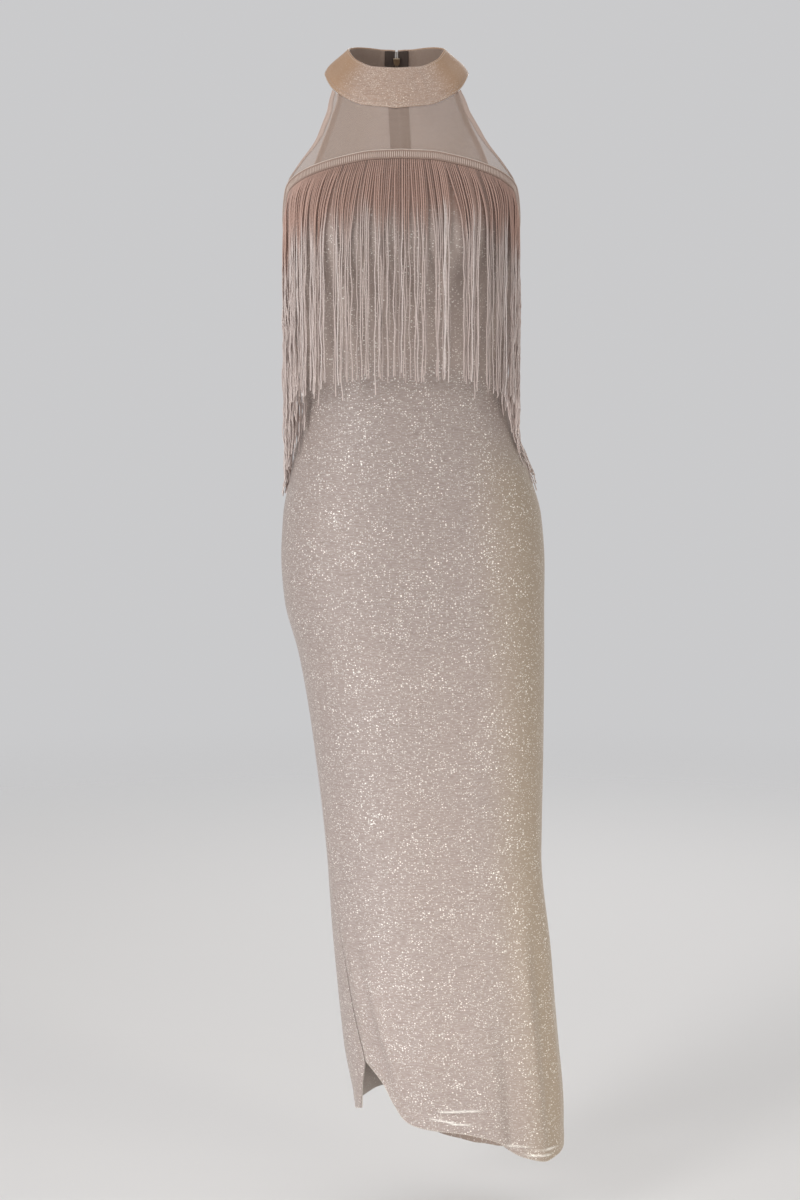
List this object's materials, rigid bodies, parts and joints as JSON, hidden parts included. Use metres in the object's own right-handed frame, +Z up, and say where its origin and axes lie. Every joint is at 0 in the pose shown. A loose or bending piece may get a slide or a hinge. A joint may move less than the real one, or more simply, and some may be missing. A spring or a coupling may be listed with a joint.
{
  "type": "maxi dress",
  "caption": "Sleeveless halter-neck column maxi dress in champagne glitter knit, with a sheer mesh yoke, long fringe from the bust line, a centre-back zip and a side slit",
  "frame": {"origin": "on the neck's own axis inside the collar, where the wearer's neck and shoulders carry the dress", "axes": "+Z up along the wearer, -Y the front of the dress, +X the side on the right when seen from the front"},
  "size_m": [0.3599, 0.2474, 1.4269],
  "materials": {
    "glitter_knit": "ribbed knit with a metallic thread, sparkling",
    "collar_knit": "ribbed knit with a metallic thread, double",
    "sheer_mesh": "fine sheer mesh",
    "fringe_yarn": "twisted satin yarn",
    "zip_tape": "woven tape",
    "zip_metal": "satin"
  },
  "bodies": {
    "dress": {"collar": "collar_knit", "yoke_front": "sheer_mesh", "yoke_back_left": "sheer_mesh", "yoke_back_right": "sheer_mesh", "front_panel": "glitter_knit", "back_panel_left": "glitter_knit", "back_panel_right": "glitter_knit", "fringe_front": "fringe_yarn", "fringe_back_left": "fringe_yarn", "fringe_back_right": "fringe_yarn", "zip_tape_left": "zip_tape", "zip_tape_right": "zip_tape", "zip_slider": "zip_metal"},
    "pull_tab": {"zip_pull_tab": "zip_metal"}
  },
  "joints": [
    {"name": "pull_tab_swing", "type": "hinge", "parent": "dress", "child": "pull_tab", "pos_m": [0, 0.06154, 0.03811], "axis": [1, 0, 0], "range_deg": [0, 150]}
  ]
}
